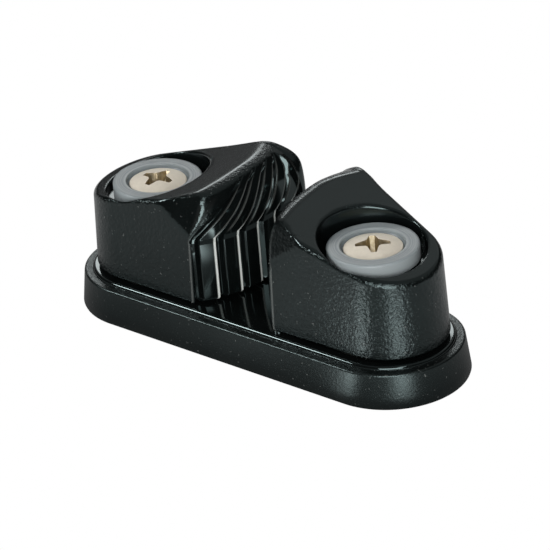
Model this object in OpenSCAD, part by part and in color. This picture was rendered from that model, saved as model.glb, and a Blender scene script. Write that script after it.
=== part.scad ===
// Cam cleat: a moulded base that carries two sprung, toothed cams.
// Frame: X along the base, +Y towards the cam noses, +Z up, origin on the deck face between the pivots.
// Lengths in millimetres, angles in degrees.

/* [Layout] */
// Distance between the two pivots, which is also the spacing of the deck holes
pivot_spacing = 38; // [36:0.5:60]
// Travel of each cam from closed to fully open
cam_travel = 45; // [20:1:60]

/* [Base] */
// Width of the base at the deck
base_w = 21.5; // [20.5:0.5:30]
// Reach of the base past each pivot
base_end = 12.7; // [11.5:0.1:18]
// Height of the matt rim above the deck
rim_h = 5.1; // [4.5:0.1:9]
// Lean of the side wall between the deck and the rim
side_lean = 0.54; // [0.2:0.02:0.9]
// Rounding of the rim's outer edge
rim_round = 0.35; // [0.1:0.05:0.6]
// Width of the flat rim outside the raised top
rim_w = 0.9; // [0.5:0.1:1.8]
// Rise of the glossy top above the rim
top_rise = 0.5; // [0.3:0.05:1]
// Rounding of the raised top's edge
top_round = 0.45; // [0.1:0.05:0.7]
// Plastic left under each bush
socket_floor = 2.5; // [1.5:0.1:3.5]
// Diameter of the deck screw hole
deck_hole_d = 4.3; // [4.2:0.1:5]

/* [Cam] */
// Height of the toothed, upright part of the jaw
jaw_h = 8.95; // [7.5:0.05:10]
// Height of the tilted top above the cam's foot, at the pivot
cam_h = 13.3; // [12.6:0.1:15]
// Tilt of the top, rising towards the nose
top_tilt = 13.2; // [8:0.1:15]
// Plan direction in which the top rises, from the rope side
top_tilt_dir = 17; // [5:1:30]
// Radius of the round outer end at the foot
end_r = 8; // [7.8:0.1:9]
// Setback of the round end's centre behind the pivot
end_set = 2.2; // [1.5:0.1:4]
// Angle of the straight back wall to the base
back_angle = 17.5; // [14:0.5:20]
// Draft of the moulded walls
cam_draft = 2.4; // [1:0.1:4]
// Rounding of the top edge
edge_r = 0.8; // [0.3:0.05:1.2]
// Height of the shoulder under the bush flange, above the foot
shoulder_h = 10.55; // [9:0.05:11.5]
// Height above the flange at which the counterbore opens into a dish
dish_up = 0.5; // [0.2:0.05:1]
// Lean of the dish's wall from upright
dish_lean = 6; // [3:1:50]

/* [Jaw] */
// Radius from the pivot to the tooth tips where the spiral runs out into a straight
jaw_r = 16.44; // [15:0.01:17.4]
// Pitch of the spiral that the tooth tips follow
spiral_angle = 9.8; // [8:0.1:12]
// Place of the first tooth along the jaw, in front of the end of the spiral
first_tooth = -11.75; // [-11.8:0.05:-10]
// Distance from tooth to tooth
tooth_pitch = 3.65; // [3:0.05:4.5]
// Depth of the grooves between the teeth
tooth_depth = 0.95; // [0.4:0.05:1.3]
// Rounding of the nose in plan
nose_r = 1.6; // [1.2:0.1:2.5]
// Distance from the pivot to the straight brow, where the flat top ends
brow_x = 11.7; // [10.5:0.1:12.2]
// Bend radius of the brow in front of its middle
brow_front_r = 38; // [30:1:60]
// Bend radius of the brow behind its middle
brow_back_r = 9.5; // [9:0.5:30]
// Place behind the pivot line to which the first ridge sweeps back
sweep_y = 5.1; // [3:0.1:6.5]
// Drop of the ridges behind the faces of the teeth that they start from
ridge_drop = 0.5; // [0.2:0.05:0.6]
// Start of the slanted entry face on the front edge of the top, from the pivot
entry_x = 6.1; // [5:0.1:8]
// Plan direction that the entry face looks in
entry_turn = -73; // [-80:1:-60]
// Lean of the entry face from level
entry_lean = 65; // [50:1:68]

/* [Pivot bush] */
// Diameter of the bush body that the cam turns on
bush_d = 9.2; // [8:0.1:9.6]
// Diameter of the grey flange
flange_d = 12.65; // [12:0.05:13.6]
// Thickness of the flange
flange_t = 2.2; // [1.8:0.1:3]
// Depth of the screw head's round recess
head_recess = 0.5; // [0.2:0.05:0.8]

/* [Thrust washer] */
// Outer diameter of the washer under the cam
washer_d = 14.2; // [13.4:0.1:15.4]
// Thickness of the washer
washer_t = 0.4; // [0.3:0.05:0.8]

/* [Return spring] */
// Wire diameter
wire_d = 0.7; // [0.5:0.05:0.8]
// Mean coil diameter
coil_d = 11.2; // [10.9:0.1:11.4]
// Turns of the coil
coil_turns = 2.5; // [1.5:0.5:3.5]
// Rise from turn to turn
coil_pitch = 1.2; // [1.15:0.05:1.3]
// Depth of each leg in its hole
leg_l = 1.6; // [1:0.1:2.2]

/* [Screw] */
// Thread diameter
screw_d = 4; // [3.5:0.1:4.1]
// Diameter of the raised countersunk head
head_d = 8.3; // [7.6:0.1:8.8]
// Rise of the head's crown above its edge
crown_h = 0.75; // [0.4:0.05:1.1]
// Length from the head's edge to the tip
screw_l = 16; // [10:1:25]
// Span of the cross recess
cross_w = 4; // [3.2:0.1:4.6]
// Width of the recess's wings
wing_w = 0.95; // [0.7:0.05:1.2]
// Turn of the cross on the left pivot
cross_turn_left = 2; // [0:1:89]
// Turn of the cross on the right pivot
cross_turn_right = 38; // [0:1:89]

/* [Fits] */
// Radial running clearance between cam and bush
run_gap = 0.05; // [0.02:0.01:0.1]
// Clearance of parts that locate in each other
seat_gap = 0.05; // [0.02:0.01:0.1]
// Height clearance of the cam between washer and flange
lift_gap = 0.1; // [0.05:0.05:0.2]
// Free space between the flange and the cam's counterbore
flange_gap = 0.97; // [0.5:0.01:1.1]
// Free space round the coil, the legs and the stop peg
free_gap = 0.35; // [0.25:0.05:0.4]

/* [Stop peg] */
// Radius from the pivot to the peg
peg_r = 9.5; // [9.4:0.1:10.5]
// Angle of the peg from the pivot line, at the closed end of the slot
peg_angle = 28; // [20:1:32]
// Diameter of the peg
peg_d = 1.8; // [1.2:0.1:2.2]
// Height of the peg above the raised top
peg_h = 1.6; // [1:0.1:2.5]

/* [Hidden] */
$fn = 96;

// Heights of the stack on each pivot, from the deck up
top_z = rim_h + top_rise;
foot_z = top_z + washer_t + lift_gap / 2;
knee_z = foot_z + jaw_h;
shoulder_z = foot_z + shoulder_h;
flange_z = shoulder_z + lift_gap;
bush_z = flange_z + flange_t;
head_z = bush_z - head_recess / 2;
base_l = pivot_spacing + 2 * base_end;

// Radii about each pivot
bush_r = bush_d / 2;
bore_r = bush_r + run_gap;
counterbore_r = flange_d / 2 + flange_gap;
coil_r = coil_d / 2;
pocket_r = coil_r + wire_d / 2 + free_gap;
leg_hole_r = wire_d / 2 + free_gap / 2;
screw_hole_r = screw_d / 2 + seat_gap * 3;

// Heights of the coil, which hangs in the pocket between the washer and the pocket's roof
coil_z = top_z + washer_t + free_gap + wire_d / 2;
coil_h = coil_turns * coil_pitch;
pocket_z = coil_z + coil_h + wire_d / 2 + free_gap;
leg_angle = 200;

// Plan points and blends
function mix(a, b, t) = a + (b - a) * t;
function ease(t) = let (u = min(max(t, 0), 1)) u * u * (3 - 2 * u);
function polar(r, a) = [r * cos(a), r * sin(a)];
function unit(v) = v / norm(v);

// Height of the tilted top at a plan point measured from the pivot
function roof(p) = foot_z + cam_h + tan(top_tilt) * p * polar(1, top_tilt_dir);

// Plan point on the brow, where the flat top ends: furthest out at brow_y and bent back on both sides of it
brow_y = 4.5;
function brow(y) =
    let (d = y - brow_y)
    [brow_x - d * d / (2 * (d < 0 ? brow_front_r : brow_back_r)), y];

// Cam walls, with the pivot at the origin and the rope on the +X side
draft = tan(cam_draft);
back_n = polar(1, 90 + back_angle);
end_c = [-end_set, 0];

// Plan point of the tooth tips, s along the jaw: a spiral in front, then straight along Y to the nose
jaw_turn = polar(jaw_r, spiral_angle);
function tip(s) =
    let (r = jaw_r + s * sin(spiral_angle))
    s > 0 ? jaw_turn + [0, s]
    : polar(r, spiral_angle + ln(r / jaw_r) / tan(spiral_angle) * 180 / PI);

// Distance of the tooth tips from the pivot line at y, found by halving the stretch of jaw that holds it
function jaw_at(y, low, high, turns) =
    let (s = (low + high) / 2)
    turns == 0 ? tip(s).x : tip(s).y > y ? jaw_at(y, low, s, turns - 1) : jaw_at(y, s, high, turns - 1);
function jaw_x(y) = y > jaw_turn.y ? jaw_turn.x : jaw_at(y, 2 * first_tooth, 0, 16);

// Centre of the nose rounding, which touches both the straight jaw and the back wall
nose_x = jaw_turn.x - nose_r;
nose_c = [nose_x, (end_r - nose_r - (nose_x + end_set) * back_n.x) / back_n.y];
nose_s = nose_c.y - jaw_turn.y;

// One pitch of the tooth row: [share of the pitch behind the tip, share of the groove depth]
tooth_form = [[0, 0], [0.04, 0.05], [0.1, 0.9], [0.16, 1], [0.27, 1], [0.33, 0.7], [0.4, 0.16], [0.92, 0.02]];
tooth_count = floor((nose_s - first_tooth) / tooth_pitch);
tooth_row = [for (k = [0 : tooth_count - 1], f = tooth_form) [first_tooth + (k + f[0]) * tooth_pitch, f[1]]];
last_tooth = first_tooth + tooth_count * tooth_pitch;

// The brow ends where it meets the rounded edge of the back wall
cap_reach = end_r - draft * (cam_h + 3) - edge_r;
function brow_meet(y, turns) =
    turns == 0 ? y : brow_meet((cap_reach - (brow(y).x + end_set) * back_n.x) / back_n.y, turns - 1);
nose_y = brow_meet(brow_y, 12);

// Ridges sweep back over the rolled face, the later ones further and sooner
sweep_rate = 0.53;
sweep_power = 0.94;
sweep_hurry = 0.056;
function ridge_end(s) = sweep_y + sweep_rate * (s - first_tooth);
function ridge_power(s) = sweep_power * exp(-sweep_hurry * (s - first_tooth));

// Place of the nose's own column at share q of the roll, which no ridge passes
function nose_way(q) = mix(nose_c.y, nose_y, 1 - cos(90 * q));

// Way of a column from y at its foot towards end_y, eased to stay in line in front of the nose
function soft(d, w) = max(d, 0) + w * ln(1 + exp(-abs(d) / w));
function swept_y(y, end_y, s, q) =
    let (late = min(q / 0.3, 1))
    let (limit = nose_way(q) - 0.12 * (nose_s - s) * late)
    limit - soft(limit - mix(y, end_y, pow(q, ridge_power(s))), 0.02 + 0.5 * late);

// Power of the curve over which the jaw rolls into the top, fuller towards the front
full_mid = 2.2;
full_front = 0.005;
nose_full = [2, 2.9];
function fullness(y) = full_mid + full_front * pow(min(y - brow_y, 0), 2);

// Steps up a column: the first two are on the upright jaw, the rest are shares of the rolled upper face
steps = [-2, -1, 0.008, 0.03, 0.07, 0.12, 0.18, 0.24, 0.31, 0.38, 0.46, 0.54, 0.63, 0.73, 0.86, 1];
knee_round = 0.2;

// Front wall, leaning back with the draft
function front_wall(z) = -end_r + draft * (z - foot_z);

// One point of a column that rolls from plan point b to e at share q, sunk by deep below the surface
function roll_point(b, e, full, deep, q, y) =
    let (k = 2 / full, inward = 1 - pow(cos(90 * q), k))
    let (plan = [mix(b.x, e.x, inward), is_undef(y) ? mix(b.y, e.y, inward) : y])
    let (rise = roof(plan) - knee_z)
    let (n = unit([pow(cos(90 * q), 2 - k) / (b.x - e.x), pow(sin(90 * q), 2 - k) / rise]))
    let (cut = plan - unit(plan) * deep * n.x)
    let (z = knee_z + rise * pow(sin(90 * q), k) - deep * n.y)
    [cut.x, max(cut.y, front_wall(z)), z];

// The two points on the upright part of a column, sunk by deep
function foot_points(b, deep) =
    let (cut = b - unit(b) * deep)
    [for (z = [foot_z, knee_z - knee_round]) [cut.x, max(cut.y, front_wall(z)), z]];

// A column of the jaw at s, swept back from foot b towards end_y: g is the share of a groove's depth,
// land the share of the ridges' drop
function jaw_column(s, b, end_y, g = 0, land = 1) =
    let (inset = [jaw_x(b.y) - b.x, 0])
    concat(foot_points(b, g * tooth_depth), [for (q = steps) if (q > 0)
        let (y = swept_y(b.y, end_y, s, q))
        let (ahead = nose_way(q) - mix(b.y, end_y, pow(q, ridge_power(s))))
        let (fade = (1 - ease((q - 0.5) / 0.22)) * ease((ahead + 0.6) / 1.2))
        let (deep = mix(ridge_drop * land, tooth_depth, g) * fade)
        roll_point([jaw_x(y), y] - inset, brow(y), fullness(y), deep, q, y)]);

// A column without ridges that rolls straight from foot b to brow point e
function plain_column(b, e, full) =
    concat(foot_points(b, 0), [for (q = steps) if (q > 0) roll_point(b, e, full, 0, q)]);

// A column on a plain drafted wall: foot point b, outward normal n, rounded into the tilted top
function wall_column(b, n) =
    let (rings = len(steps) - 4)
    let (top = b - n * draft * (roof(b) - edge_r - foot_z))
    let (side = [for (i = [0 : rings - 1]) let (t = i / (rings - 1))
        [mix(b.x, top.x, t), mix(b.y, top.y, t), mix(foot_z, roof(top) - edge_r, t)]])
    let (round = [for (a = [24, 45, 66, 90]) let (p = top - n * edge_r * (1 - cos(a)))
        [p.x, p.y, roof(p) - edge_r * (1 - sin(a))]])
    concat(side, round);

// Foot of the front corner, where the front wall turns into the first tooth
corner = tip(first_tooth);
corner_turn = [[corner.x - 0.6, -end_r], [corner.x - 0.3, mix(-end_r, corner.y, 0.1)],
               [corner.x - 0.1, mix(-end_r, corner.y, 0.45)]];
front_y = -end_r + draft * cam_h + edge_r;
corner_land = [0, 0.33, 0.66];
land_ends = [for (t = corner_land) mix(front_y, sweep_y, t)];
front_end = brow(front_y).x;

// Ring of columns round the cam: corner, teeth, nose, back wall, round end, front wall
end_steps = 20;
back_from = nose_c + back_n * nose_r;
back_to = end_c + back_n * end_r;
back_way = unit(back_to - back_from);
columns = concat(
    [for (i = [0 : 2]) jaw_column(first_tooth, corner_turn[i], land_ends[i], 0, corner_land[i])],
    [for (t = tooth_row) jaw_column(t[0], tip(t[0]), ridge_end(t[0]), t[1])],
    [for (f = [0, 0.3, 0.65]) let (s = mix(last_tooth, nose_s, f))
        jaw_column(s, tip(s), ridge_end(s), f == 0 ? 0 : 0.5)],
    [for (i = [0 : 4]) let (t = i / 4)
        plain_column(nose_c + polar(nose_r, mix(0, 90 + back_angle, t)), brow(nose_y) + back_way * 0.6 * t,
                     mix(nose_full[0], nose_full[1], ease(t)))],
    [for (i = [1 : 4]) wall_column(mix(back_from, back_to, i / 5 + 0.1), back_n)],
    [for (i = [0 : end_steps]) let (a = mix(90 + back_angle, 270, i / end_steps))
        wall_column(end_c + polar(end_r, a), polar(1, a))],
    [for (i = [1 : 3]) wall_column([mix(-end_set, front_end - 0.9, i / 3), -end_r], [0, -1])],
    [for (t = [0.3, 0.65]) plain_column([mix(front_end, corner.x, t), -end_r],
                                        [front_end - 0.6 + 0.5 * t, front_y], fullness(front_y))]);

// Half-space in front of and above the slanted entry face at the front corner of the jaw
module entry_cut() {
    translate([entry_x, -end_r + draft * cam_h, roof([entry_x, -end_r])])
        rotate([0, 0, entry_turn])
            rotate([0, entry_lean, 0])
                translate([-30, -30, 0]) cube(60);
}

// A closed solid between a ring of columns round the pivot that all have the same number of points
module loft(cols) {
    n = len(cols);
    m = len(cols[0]);
    points = concat([for (c = cols, p = c) p], [[0, 0, foot_z], [0, 0, roof([0, 0])]]);
    sides = [for (i = [0 : n - 1], j = [0 : m - 2])
        let (a = i * m + j, b = ((i + 1) % n) * m + j)
        each [[a, a + 1, b], [b, a + 1, b + 1]]];
    foot = [for (i = [0 : n - 1]) [n * m, i * m, ((i + 1) % n) * m]];
    top = [for (i = [0 : n - 1]) [n * m + 1, ((i + 1) % n) * m + m - 1, i * m + m - 1]];
    polyhedron(points, concat(sides, foot, top), convexity = 8);
}

// Space turned about the pivot: spring pocket, bush bore, flange counterbore and the dish above it
module pivot_space() {
    dish_z = bush_z + dish_up;
    dish_r = counterbore_r + (3 * cam_h - dish_z) * tan(dish_lean);
    rotate_extrude()
        polygon([[0, 0], [pocket_r, 0], [pocket_r, pocket_z], [bore_r, pocket_z], [bore_r, shoulder_z],
                 [counterbore_r, shoulder_z], [counterbore_r, dish_z], [dish_r, 3 * cam_h], [0, 3 * cam_h]]);
}

// Curved slot that the stop peg runs in
module stop_slot() {
    half = asin((peg_d / 2 + free_gap) / peg_r);
    rotate([0, 0, peg_angle - cam_travel - half])
        rotate_extrude(angle = cam_travel + 2 * half)
            translate([peg_r - peg_d / 2 - free_gap, 0])
                square([peg_d + 2 * free_gap, top_z + peg_h + free_gap]);
}

module cam() {
    difference() {
        loft(columns);
        entry_cut();
        pivot_space();
        stop_slot();
        rotate([0, 0, leg_angle + 360 * coil_turns])
            translate([coil_r, 0, pocket_z - 1])
                cylinder(r = leg_hole_r, h = leg_l + free_gap + 1);
    }
}

// Half of the base's cross-section, from the middle out
module base_half() {
    w = base_w / 2;
    rim_x = w - side_lean;
    top_x = rim_x - rim_round - rim_w;
    polygon(concat(
        [[0, 0], [w - 0.2, 0], [w, 0.2]],
        [for (a = [0 : 22.5 : 90]) [rim_x - rim_round * (1 - cos(a)), rim_h - rim_round * (1 - sin(a))]],
        [[top_x, rim_h]],
        [for (a = [0 : 22.5 : 90]) [top_x - min(top_round, top_rise) * (1 - cos(a)),
                                    top_z - min(top_round, top_rise) * (1 - sin(a))]],
        [[0, top_z]]));
}

module base() {
    run = base_l - base_w;
    color("#1b1d1e") difference() {
        union() {
            translate([-run / 2, 0, 0])
                rotate([90, 0, 90])
                    linear_extrude(run) {
                        base_half();
                        mirror([1, 0]) base_half();
                    }
            for (side = [-1, 1])
                translate([side * run / 2, 0, 0])
                    rotate([0, 0, -90 * side])
                        rotate_extrude(angle = 180) base_half();
            each_pivot()
                rotate([0, 0, peg_angle])
                    translate([peg_r, 0, top_z - 0.5])
                        cylinder(d = peg_d, h = peg_h + 0.5);
        }
        each_pivot() {
            translate([0, 0, -1]) cylinder(d = deck_hole_d, h = rim_h);
            translate([0, 0, socket_floor]) cylinder(r = bush_r + seat_gap, h = rim_h + peg_h);
            rotate([0, 0, leg_angle])
                translate([coil_r, 0, top_z - leg_l - free_gap])
                    cylinder(r = leg_hole_r, h = leg_l + free_gap + 1);
        }
    }
}

// Puts a left-hand piece on the left pivot
module left_pivot() {
    translate([-pivot_spacing / 2, 0, 0]) children();
}

// Puts the mirror image of a left-hand piece on the right pivot
module right_pivot() {
    translate([pivot_spacing / 2, 0, 0]) mirror([1, 0, 0]) children();
}

module each_pivot() {
    left_pivot() children();
    right_pivot() children();
}

// Top-hat bush: a body that stands in the base, a flange over the cam, a countersink for the screw
module bush() {
    sink_r = head_d / 2 + seat_gap * 4;
    sink_z = bush_z - head_recess;
    color("#868e95") rotate_extrude()
        polygon([[screw_hole_r, socket_floor], [bush_r - 0.3, socket_floor], [bush_r, socket_floor + 0.3],
                 [bush_r, flange_z], [flange_d / 2, flange_z], [flange_d / 2, bush_z - 0.25],
                 [flange_d / 2 - 0.25, bush_z], [sink_r, bush_z], [sink_r, sink_z],
                 [screw_hole_r, sink_z - sink_r + screw_hole_r]]);
}

module washer() {
    color("#c4bfb6") difference() {
        translate([0, 0, top_z]) cylinder(d = washer_d, h = washer_t);
        translate([0, 0, top_z - 1]) cylinder(r = bush_r + seat_gap * 3, h = washer_t + 2);
        rotate([0, 0, leg_angle])
            translate([coil_r, 0, top_z - 1])
                cylinder(r = leg_hole_r, h = washer_t + 2);
    }
}

// Centre line of the spring: a leg up from the base, the coil, a leg up into the cam
curl_steps = 12;
coil_path = [for (i = [0 : curl_steps * coil_turns]) let (t = i / curl_steps)
    [coil_r * cos(leg_angle + 360 * t), coil_r * sin(leg_angle + 360 * t), coil_z + coil_pitch * t]];
end_angle = leg_angle + 360 * coil_turns;
spring_path = concat(
    [[coil_r * cos(leg_angle), coil_r * sin(leg_angle), top_z - leg_l]],
    coil_path,
    [[coil_r * cos(end_angle), coil_r * sin(end_angle), pocket_z + leg_l]]);

// A tube of six sides along a path, with each ring square to the path's mean direction
function heading(path, i) =
    let (n = len(path) - 1)
    unit(i == 0 ? path[1] - path[0] : i == n ? path[n] - path[n - 1]
        : unit(path[i] - path[i - 1]) + unit(path[i + 1] - path[i]));

module tube(path, r, sides = 6) {
    n = len(path);
    rings = [for (i = [0 : n - 1])
        let (t = heading(path, i), out = unit([path[i].x, path[i].y, 0]))
        let (u = unit(out - t * (out * t)), v = cross(t, u))
        for (k = [0 : sides - 1]) path[i] + r * (u * cos(360 * k / sides) + v * sin(360 * k / sides))];
    walls = [for (i = [0 : n - 2], k = [0 : sides - 1])
        let (a = i * sides + k, b = i * sides + (k + 1) % sides)
        each [[a, b + sides, b], [a, a + sides, b + sides]]];
    first = [for (k = [1 : sides - 2]) [0, k, k + 1]];
    last = [for (k = [1 : sides - 2]) [for (j = [0, k + 1, k]) (n - 1) * sides + j]];
    polyhedron(rings, concat(walls, first, last), convexity = 10);
}

// Least gap between points of the wire that lie more than half a turn apart
spring_gap = min([for (i = [0 : len(spring_path) - 1], j = [i + 7 : 1 : len(spring_path) - 1])
    norm(spring_path[i] - spring_path[j])]) - wire_d;
echo(spring_self_gap = spring_gap);

module spring() {
    color("#b9b6af") tube(spring_path, wire_d / 2);
}

// Cross recess whose four wings run down to a point
module cross_recess() {
    deep = cross_w / 2 / tan(32);
    intersection() {
        for (turn = [0, 90])
            rotate([0, 0, turn])
                translate([-cross_w, -wing_w / 2, -deep]) cube([2 * cross_w, wing_w, 2 * deep]);
        translate([0, 0, -deep]) cylinder(r1 = 0.2, r2 = cross_w - 0.2, h = 2 * deep);
    }
}

// Raised countersunk screw with a cross recess
module screw(turn) {
    head_r = head_d / 2;
    crown_r = (head_r * head_r + crown_h * crown_h) / (2 * crown_h);
    crown_span = asin(head_r / crown_r);
    cone_h = head_r - screw_d / 2;
    color("#c9c2b8") difference() {
        rotate_extrude()
            polygon(concat(
                [[0, head_z - screw_l], [screw_d / 2 - 0.4, head_z - screw_l],
                 [screw_d / 2, head_z - screw_l + 0.4], [screw_d / 2, head_z - 0.3 - cone_h],
                 [head_r, head_z - 0.3]],
                [for (i = [0 : 6]) let (a = crown_span * (1 - i / 6))
                    [crown_r * sin(a), head_z + crown_h - crown_r * (1 - cos(a))]]));
        translate([0, 0, head_z + crown_h - 0.15]) rotate([0, 0, turn]) cross_recess();
    }
}

module cam_left() { color("#232728") left_pivot() cam(); }
module cam_right() { color("#232728") right_pivot() cam(); }
module bush_left() { left_pivot() bush(); }
module bush_right() { right_pivot() bush(); }
module washer_left() { left_pivot() washer(); }
module washer_right() { right_pivot() washer(); }
module spring_left() { left_pivot() spring(); }
module spring_right() { right_pivot() spring(); }
module screw_left() { left_pivot() screw(cross_turn_left); }
module screw_right() { right_pivot() screw(180 - cross_turn_right); }

base();
cam_left();
cam_right();
bush_left();
bush_right();
washer_left();
washer_right();
spring_left();
spring_right();
screw_left();
screw_right();
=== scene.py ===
import math
from collections import namedtuple

import bmesh
import bpy
import numpy as np
from mathutils import Matrix, Vector


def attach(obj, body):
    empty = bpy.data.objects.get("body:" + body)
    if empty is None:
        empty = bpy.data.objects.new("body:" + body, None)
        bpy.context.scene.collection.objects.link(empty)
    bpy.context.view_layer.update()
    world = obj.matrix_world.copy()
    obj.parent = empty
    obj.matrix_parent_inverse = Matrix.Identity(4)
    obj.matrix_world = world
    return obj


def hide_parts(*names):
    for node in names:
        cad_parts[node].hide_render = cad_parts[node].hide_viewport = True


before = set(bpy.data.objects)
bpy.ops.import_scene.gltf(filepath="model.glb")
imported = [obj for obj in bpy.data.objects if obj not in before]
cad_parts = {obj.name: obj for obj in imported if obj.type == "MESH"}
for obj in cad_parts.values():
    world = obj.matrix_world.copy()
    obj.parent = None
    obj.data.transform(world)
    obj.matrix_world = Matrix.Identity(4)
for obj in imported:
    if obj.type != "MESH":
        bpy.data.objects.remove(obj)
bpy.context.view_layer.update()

# A millimetre in metres, and the distance within which doubled points are merged
MM = 0.001
MERGE = 0.0005 * MM

# Sizes in millimetres, most of them the solids' own. The scene has its own screw head, countersink, ridges,
# nose and small roundings, and its stop pegs end under the cams, whose slots for them are left to the solids
PIVOT_X = 19.0
RIM_Z, TOP_Z, FOOT_Z, KNEE_Z = 5.1, 5.6, 6.05, 15.0
SHOULDER_Z, FLANGE_Z, BUSH_Z, HEAD_Z = 16.6, 16.7, 18.9, 18.4
BORE_R, POCKET_R, POCKET_Z = 4.65, 6.3, 10.4

# Counterbore, the flaring dish above it, the dish's rounded lip and the least height of its wall
COUNTERBORE_R, DISH_Z, DISH_FLARE = 7.295, 19.4, math.tan(math.radians(6))
DISH_LIP, DISH_WALL = 0.4, 0.5

# Cam outline, pivot at the origin, rope on the +X side, noses towards +Y
END_C, END_R = np.array([-2.2, 0.0]), 8.0
BACK_ANGLE = math.radians(17.5)
BACK_N = np.array([-math.sin(BACK_ANGLE), math.cos(BACK_ANGLE)])
DRAFT = math.tan(math.radians(2.4))
EDGE_R, FOOT_ROUND = 0.8, 0.35
CAM_H, TOP_TILT, TOP_TILT_DIR = 13.3, math.radians(13.2), math.radians(17)

# Jaw: radius and pitch of its spiral, place of the first tooth, tooth spacing, groove depth, nose and its
# rise, brow, steps along the spiral, and rounds in which the brow's end is found
JAW_R, SPIRAL = 16.44, math.radians(9.8)
FIRST_TOOTH, TOOTH_PITCH, TOOTH_DEPTH = -11.75, 3.65, 0.95
NOSE_R, NOSE_LIFT = 1.6, 3.0
BROW_X, BROW_Y, BROW_FRONT_R, BROW_BACK_R = 11.7, 4.5, 38.0, 9.5
SPIRAL_STEPS, BROW_ROUNDS = 800, 12

# Section of one tooth, from its tip back to the next one: share of the pitch against share of the depth, its
# fine steps, and how many of these to either side ease its corners
SECTION_AT = (0, 0.04, 0.1, 0.16, 0.27, 0.33, 0.4, 0.92, 1)
SECTION_CUT = (0, 0.05, 0.9, 1, 1, 0.7, 0.16, 0.02, 0)
SECTION_STEPS, EASE_STEPS = 401, 8

# Shallow groove in which the row of teeth runs out at the nose: share of the depth, run in and run out
LAST_CUT, LAST_IN, LAST_OUT = 0.5, 0.6, 0.7

# Ridges: the first one's end, how much further and sooner later ones sweep back, drop behind teeth, depth
SWEEP_Y, SWEEP_RATE, SWEEP_POWER, SWEEP_HURRY = 5.1, 0.53, 0.94, 0.056
RIDGE_DROP, RIDGE_DEPTH = 0.5, 0.7

# Where on the roll the ridges begin to fade, over how much of it, and over what run in front of the nose
FADE_AT, FADE_RUN, NOSE_FADE = 0.5, 0.22, 1.2

# Ridges crowd before the nose: within what share of the roll, to what share of their spacing, how softly
CROWD_BY, CROWD_SHARE, CROWD_SOFT = 0.3, 0.12, (0.02, 0.52)

# Power of the curve over which the jaw rolls into the top: in the middle, gain in front, at the nose
FULL_MID, FULL_FRONT, NOSE_FULL = 2.2, 0.005, (2.0, 4.0)

# Slanted entry face at the front corner of the jaw: its start, the way it looks and its soft edge
ENTRY_X, ENTRY_TURN, ENTRY_RISE, ENTRY_SOFT = 6.1, math.radians(-73), math.radians(25), 0.3

# Rounding of the nose: the way it looks, how much it takes off and how soft it is
NOSE_TURN, NOSE_RISE, NOSE_CUT, NOSE_SOFT = math.radians(30), math.radians(62), 1.0, 1.1

# Painted highlights along the teeth's edges, 1 where full: millimetres past a tooth's tip, and shares of the
# pitch where its groove ends
TIP_AT = (0, 0.05, 0.1, TOOTH_PITCH - 0.3, TOOTH_PITCH - 0.18, TOOTH_PITCH)
TIP_HIGHLIGHT = (1, 1, 0, 0, 1, 1)
REAR_AT, REAR_HIGHLIGHT = (0.36, 0.4, 0.44, 0.48), (0, 1, 1, 0)

# How strong the painted highlights on these two edges stay on their way over the rolled face
HIGHLIGHT_UP_AT = (0, 0.02, 0.06, 0.45, 0.62)
TIP_HIGHLIGHT_UP, REAR_HIGHLIGHT_UP = (1, 0.5, 0.1, 0.1, 0), (0, 0, 0.07, 0.07, 0)

# Columns round the cam: on the front corner, nose, back, round end and front, and on the jaw their spacing
# and the gap that they leave before the nose
CORNER_COLUMNS, NOSE_COLUMNS, BACK_COLUMNS, END_COLUMNS, FRONT_COLUMNS = 15, 25, 60, 120, 80
JAW_STEP, JAW_END = 0.065, 0.05

# Front corner: its run before the first tooth, its roundness, and the share of it that gets a faint painted
# highlight
CORNER_RUN, CORNER_POWER = 0.6, 1.6
CORNER_HIGHLIGHT, CORNER_HIGHLIGHT_AT = 0.1, (0.2, 0.6)

# Nose and back: run of the brow round the nose, how soon its polish ends, where the plain wall takes over
NOSE_RUN, NOSE_DULL = 0.6, 1.6
BACK_CREEP, BACK_START, BACK_RUN = 0.5, 0.7, 4.0

# Front wall: run over which the rolled corner takes over, and the creep of the brow there
FRONT_RUN, FRONT_CREEP = 1.2, 0.1

# Rows up a column: shares of the upright part, of the ledge on top of a tooth and of the rolled face above
UPRIGHT = np.linspace(0, 1, 6)
LEDGE = np.linspace(0, 1, 10)[1:-1]
ROLL = np.r_[0.008, 0.014, 0.024, np.linspace(0.04, 1, 56)]
LEDGE_Z = KNEE_Z - 0.2

# Rows over the top, round a plain wall's edge and down the bore, and how far in over the top a column runs
ROOF_ROWS, EDGE_ROWS, DISH_ROWS, SHOULDER_ROWS = 14, 13, 5, 4
TOP_STEPS, TOP_REACH = 60, 0.3
LIP_TURN = (0.17, 0.33, 0.5, 0.67, 0.83)

# Rounded foot of a column, as inset and rise of each row
FOOT_TURN = np.radians([0, 30, 60])
FOOT_EDGE = [(FOOT_ROUND * (1 - math.sin(a)), FOOT_ROUND * (1 - math.cos(a))) for a in FOOT_TURN]

# Rows of the upright part and up to the brow, rows of a ring below and above the ledge, and the share of the
# roll at each of the upper ones
LOW = len(UPRIGHT)
HIGH = LOW + len(LEDGE) + len(ROLL)
LOWER_ROWS, UPPER_ROWS = len(FOOT_EDGE) + LOW, HIGH - LOW + ROOF_ROWS
ROLLED = np.r_[np.zeros(len(LEDGE)), ROLL, np.ones(ROOF_ROWS)]

# Finish of the cam: where on the roll the polish ends, how soon, and the grain's fade below the top
POLISH_END, POLISH_FADE, GRAIN_FADE = 0.62, 0.12, 0.3

# Entry face: where its finish starts and the polish it keeps, then how much it smooths the grain and where
ENTRY_EDGE, ENTRY_POLISH = 0.2, 0.1
ENTRY_SMOOTH, ENTRY_NEAR, ENTRY_FADE = 0.6, 0.5, 0.4

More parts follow.
